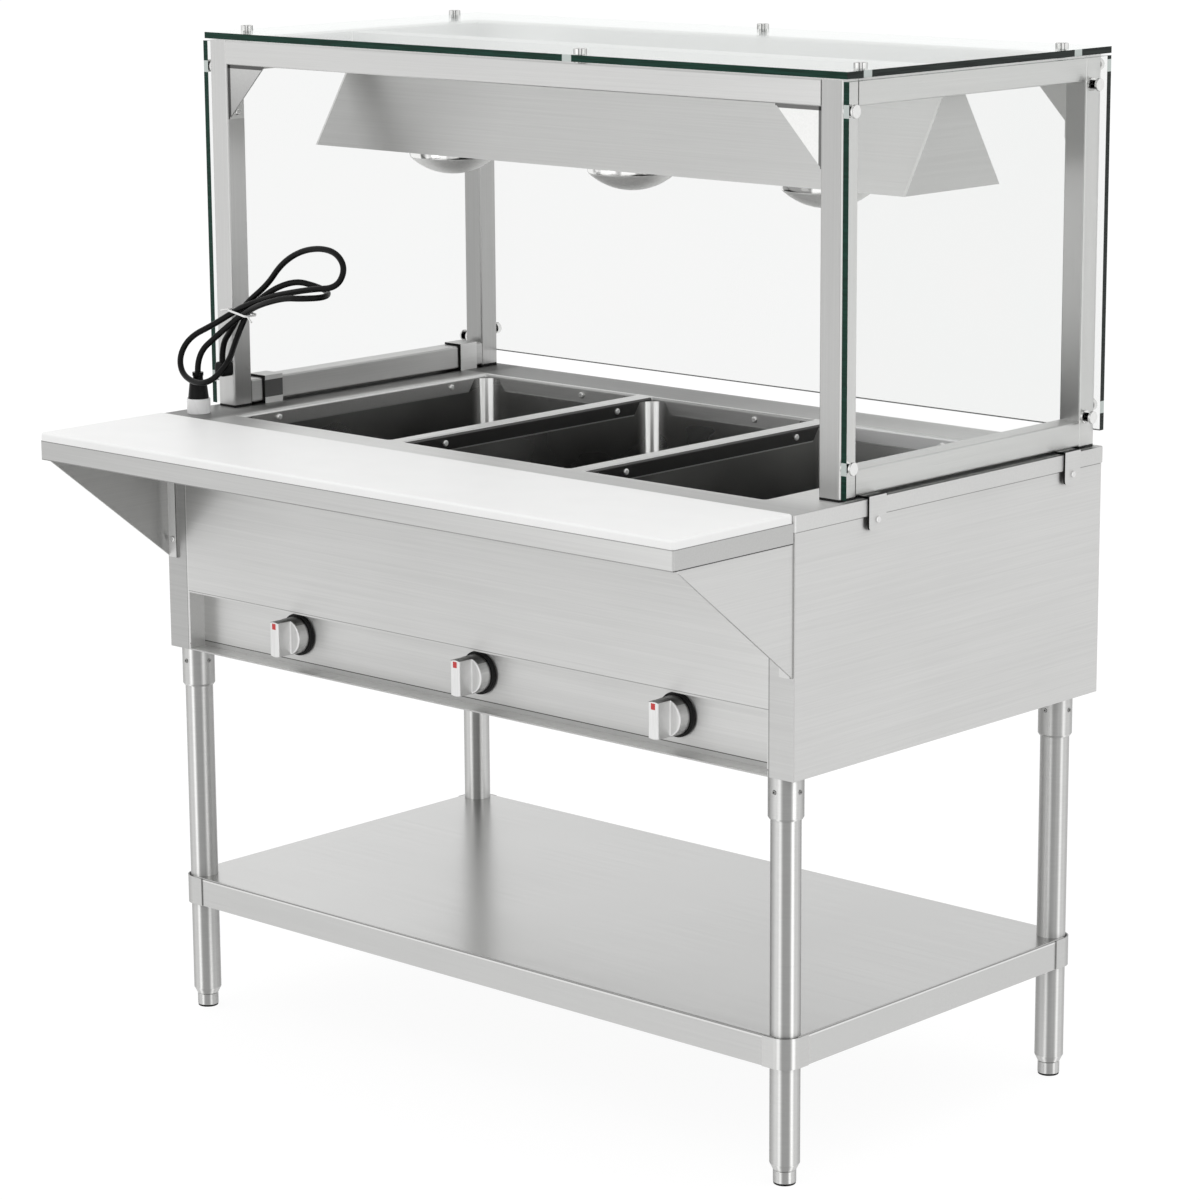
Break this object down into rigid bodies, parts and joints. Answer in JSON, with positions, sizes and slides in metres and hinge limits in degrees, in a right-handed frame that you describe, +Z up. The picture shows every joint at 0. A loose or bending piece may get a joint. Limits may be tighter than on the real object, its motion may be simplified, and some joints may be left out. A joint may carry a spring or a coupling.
{
  "type": "steam table",
  "caption": "Electric steam table on tube legs: rimmed food wells under a glass guard with a heat-lamp hood, a cutting-board shelf, knobs in a recess, an undershelf and a tied supply cord.",
  "frame": {"origin": "on the floor, at the centre of the table's box without its cord", "axes": "+Z up, -Y towards the operator (knobs and cutting board), +X to the operator's right when facing the table"},
  "size_m": [1.2332, 0.9216, 1.4827],
  "materials": {
    "sheet_steel": "brushed sheet",
    "tube_steel": "satin tube",
    "bright_steel": "polished",
    "element_sheath": "dull, heat-darkened",
    "knob_metal": "satin",
    "bezel_plastic": "satin",
    "switch_plastic": "matt",
    "board_plastic": "matt",
    "pad_rubber": "matt",
    "plug_plastic": "matt",
    "guard_glass": "clear, green edges",
    "socket_ceramic": "glazed",
    "bulb_glass": "silvered",
    "cord_rubber": "satin",
    "gland_plastic": "satin",
    "tie_plastic": "satin",
    "plug_rubber": "satin",
    "cap_plastic": "translucent"
  },
  "bodies": {
    "table": {"deck_top": "sheet_steel", "front_panel": "sheet_steel", "control_panel": "sheet_steel", "side_panel_left": "sheet_steel", "side_panel_right": "sheet_steel", "rear_panel": "sheet_steel", "bottom_pan": "sheet_steel", "well_liner_1": "sheet_steel", "well_liner_2": "sheet_steel", "well_liner_3": "sheet_steel", "board_shelf": "sheet_steel", "board_bracket_left": "sheet_steel", "board_bracket_right": "sheet_steel", "undershelf": "sheet_steel", "shelf_collars": "sheet_steel", "guard_gussets": "sheet_steel", "deck_clips": "sheet_steel", "lamp_hood": "sheet_steel", "hood_ends": "sheet_steel", "leg_fl": "tube_steel", "leg_fr": "tube_steel", "leg_rl": "tube_steel", "leg_rr": "tube_steel", "leg_sockets": "tube_steel", "guard_side_left": "tube_steel", "guard_side_right": "tube_steel", "guard_rail_front": "tube_steel", "guard_rail_rear": "tube_steel", "well_screws": "bright_steel", "bracket_screws": "bright_steel", "socket_set_screws": "bright_steel", "guard_screws": "bright_steel", "glass_caps": "bright_steel", "heating_elements": "element_sheath", "knob_bezels": "bezel_plastic", "control_switches": "switch_plastic", "post_plugs": "plug_plastic", "glass_top": "guard_glass", "glass_left": "guard_glass", "glass_right": "guard_glass", "glass_rear": "guard_glass", "lamp_sockets": "socket_ceramic", "lamp_bulbs": "bulb_glass", "cord": "cord_rubber", "cord_gland": "gland_plastic", "cord_tie": "tie_plastic", "plug": "plug_rubber", "plug_cap": "cap_plastic"},
    "knob_1": {"knob_1": "knob_metal"},
    "knob_2": {"knob_2": "knob_metal"},
    "knob_3": {"knob_3": "knob_metal"},
    "board": {"cutting_board": "board_plastic"},
    "foot_fl": {"foot_fl": "bright_steel", "foot_pad_fl": "pad_rubber"},
    "foot_fr": {"foot_fr": "bright_steel", "foot_pad_fr": "pad_rubber"},
    "foot_rl": {"foot_rl": "bright_steel", "foot_pad_rl": "pad_rubber"},
    "foot_rr": {"foot_rr": "bright_steel", "foot_pad_rr": "pad_rubber"}
  },
  "joints": [
    {"name": "knob_1_turn", "type": "hinge", "parent": "table", "child": "knob_1", "pos_m": [-0.356, -0.21275, 0.614], "axis": [0, 1, 0], "range_deg": [0, 300]},
    {"name": "knob_2_turn", "type": "hinge", "parent": "table", "child": "knob_2", "pos_m": [0.014, -0.21275, 0.614], "axis": [0, 1, 0], "range_deg": [0, 300]},
    {"name": "knob_3_turn", "type": "hinge", "parent": "table", "child": "knob_3", "pos_m": [0.384, -0.21275, 0.614], "axis": [0, 1, 0], "range_deg": [0, 300]},
    {"name": "foot_fl_level", "type": "slide", "parent": "table", "child": "foot_fl", "axis": [0, 0, -1], "range_m": [0, 0.025]},
    {"name": "foot_fr_level", "type": "slide", "parent": "table", "child": "foot_fr", "axis": [0, 0, -1], "range_m": [0, 0.025]},
    {"name": "foot_rl_level", "type": "slide", "parent": "table", "child": "foot_rl", "axis": [0, 0, -1], "range_m": [0, 0.025]},
    {"name": "foot_rr_level", "type": "slide", "parent": "table", "child": "foot_rr", "axis": [0, 0, -1], "range_m": [0, 0.025]},
    {"name": "board_lift", "type": "slide", "parent": "table", "child": "board", "axis": [0, 0, 1], "range_m": [0, 0.12]}
  ]
}
